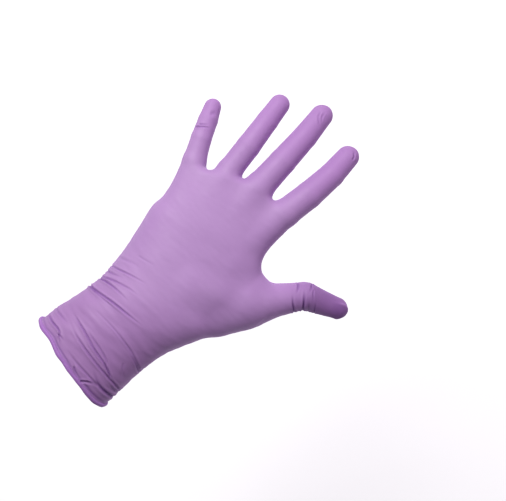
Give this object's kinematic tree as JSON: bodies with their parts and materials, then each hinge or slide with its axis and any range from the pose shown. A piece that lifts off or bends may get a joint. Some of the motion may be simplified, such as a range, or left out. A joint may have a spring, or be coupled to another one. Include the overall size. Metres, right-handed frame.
{
  "type": "disposable nitrile glove",
  "caption": "Thin lilac examination glove in the shape of a worn left hand, hollow from its rolled cuff to its fingertips, bending at the wrist and knuckles.",
  "frame": {"origin": "centre of the cuff's mouth, in the plane of its rolled edge", "axes": "+Y towards the fingertips, +Z out of the back of the hand, +X towards the thumb"},
  "size_m": [0.1671, 0.2494, 0.0494],
  "materials": {
    "nitrile_film": "satin, finely textured at the fingertips",
    "nitrile_bead": "satin"
  },
  "bodies": {
    "cuff": {"cuff": "nitrile_film", "cuff_bead": "nitrile_bead"},
    "palm": {"palm": "nitrile_film"},
    "thumb_base": {"thumb_base": "nitrile_film"},
    "thumb_tip": {"thumb_tip": "nitrile_film"},
    "little_base": {"little_base": "nitrile_film"},
    "little_middle": {"little_middle": "nitrile_film"},
    "little_tip": {"little_tip": "nitrile_film"},
    "ring_base": {"ring_base": "nitrile_film"},
    "ring_middle": {"ring_middle": "nitrile_film"},
    "ring_tip": {"ring_tip": "nitrile_film"},
    "middle_base": {"middle_base": "nitrile_film"},
    "middle_middle": {"middle_middle": "nitrile_film"},
    "middle_tip": {"middle_tip": "nitrile_film"},
    "index_base": {"index_base": "nitrile_film"},
    "index_middle": {"index_middle": "nitrile_film"},
    "index_tip": {"index_tip": "nitrile_film"}
  },
  "joints": [
    {"name": "wrist_flex", "type": "hinge", "parent": "cuff", "child": "palm", "pos_m": [0.006, 0.052, 0], "axis": [-1, 0, 0], "range_deg": [-35, 35]},
    {"name": "little_root_flex", "type": "hinge", "parent": "palm", "child": "little_base", "pos_m": [-0.037, 0.1525, 0], "axis": [-0.8878, -0.4603, 0], "range_deg": [-15, 45]},
    {"name": "little_middle_flex", "type": "hinge", "parent": "little_base", "child": "little_middle", "pos_m": [-0.044, 0.166, 0], "axis": [-0.8911, -0.4538, 0], "range_deg": [0, 90]},
    {"name": "little_tip_flex", "type": "hinge", "parent": "little_middle", "child": "little_tip", "pos_m": [-0.05, 0.178, -0.002], "axis": [-0.8892, -0.4575, 0], "range_deg": [0, 36]},
    {"name": "ring_root_flex", "type": "hinge", "parent": "palm", "child": "ring_base", "pos_m": [-0.0172, 0.164, 0.0015], "axis": [-0.9938, -0.1115, 0], "range_deg": [-15, 60]},
    {"name": "ring_middle_flex", "type": "hinge", "parent": "ring_base", "child": "ring_middle", "pos_m": [-0.0195, 0.1845, 0.0015], "axis": [-0.9907, -0.1361, 0], "range_deg": [0, 90]},
    {"name": "ring_tip_flex", "type": "hinge", "parent": "ring_middle", "child": "ring_tip", "pos_m": [-0.023, 0.206, -0.001], "axis": [-0.9881, -0.1537, 0], "range_deg": [0, 36]},
    {"name": "middle_root_flex", "type": "hinge", "parent": "palm", "child": "middle_base", "pos_m": [0.005, 0.171, 0.002], "axis": [-0.9991, -0.0434, 0], "range_deg": [-15, 60]},
    {"name": "middle_middle_flex", "type": "hinge", "parent": "middle_base", "child": "middle_middle", "pos_m": [0.004, 0.194, 0.002], "axis": [-0.9985, -0.0549, 0], "range_deg": [0, 90]},
    {"name": "middle_tip_flex", "type": "hinge", "parent": "middle_middle", "child": "middle_tip", "pos_m": [0.0025, 0.2165, -0.001], "axis": [-0.9962, -0.0869, 0], "range_deg": [0, 36]},
    {"name": "index_root_flex", "type": "hinge", "parent": "palm", "child": "index_base", "pos_m": [0.0293, 0.17, 0.0015], "axis": [-0.9914, 0.1306, 0], "range_deg": [-15, 60]},
    {"name": "index_middle_flex", "type": "hinge", "parent": "index_base", "child": "index_middle", "pos_m": [0.032, 0.1905, 0.0015], "axis": [-0.9953, 0.0971, 0], "range_deg": [0, 90]},
    {"name": "index_tip_flex", "type": "hinge", "parent": "index_middle", "child": "index_tip", "pos_m": [0.0333, 0.211, -0.001], "axis": [-0.9999, 0.0167, 0], "range_deg": [0, 36]},
    {"name": "thumb_swing", "type": "hinge", "parent": "palm", "child": "thumb_base", "pos_m": [0.062, 0.1205, -0.002], "axis": [0.0498, 0.0627, 0.9968], "range_deg": [-10, 40]},
    {"name": "thumb_tip_flex", "type": "hinge", "parent": "thumb_base", "child": "thumb_tip", "pos_m": [0.0775, 0.14, -0.004], "axis": [-0.2627, 0.429, 0.8643], "range_deg": [-5, 80]}
  ],
  "couplings": [
    {"joint": "little_tip_flex", "follows": "little_middle_flex", "ratio": 0.4},
    {"joint": "ring_tip_flex", "follows": "ring_middle_flex", "ratio": 0.4},
    {"joint": "middle_tip_flex", "follows": "middle_middle_flex", "ratio": 0.4},
    {"joint": "index_tip_flex", "follows": "index_middle_flex", "ratio": 0.4}
  ]
}
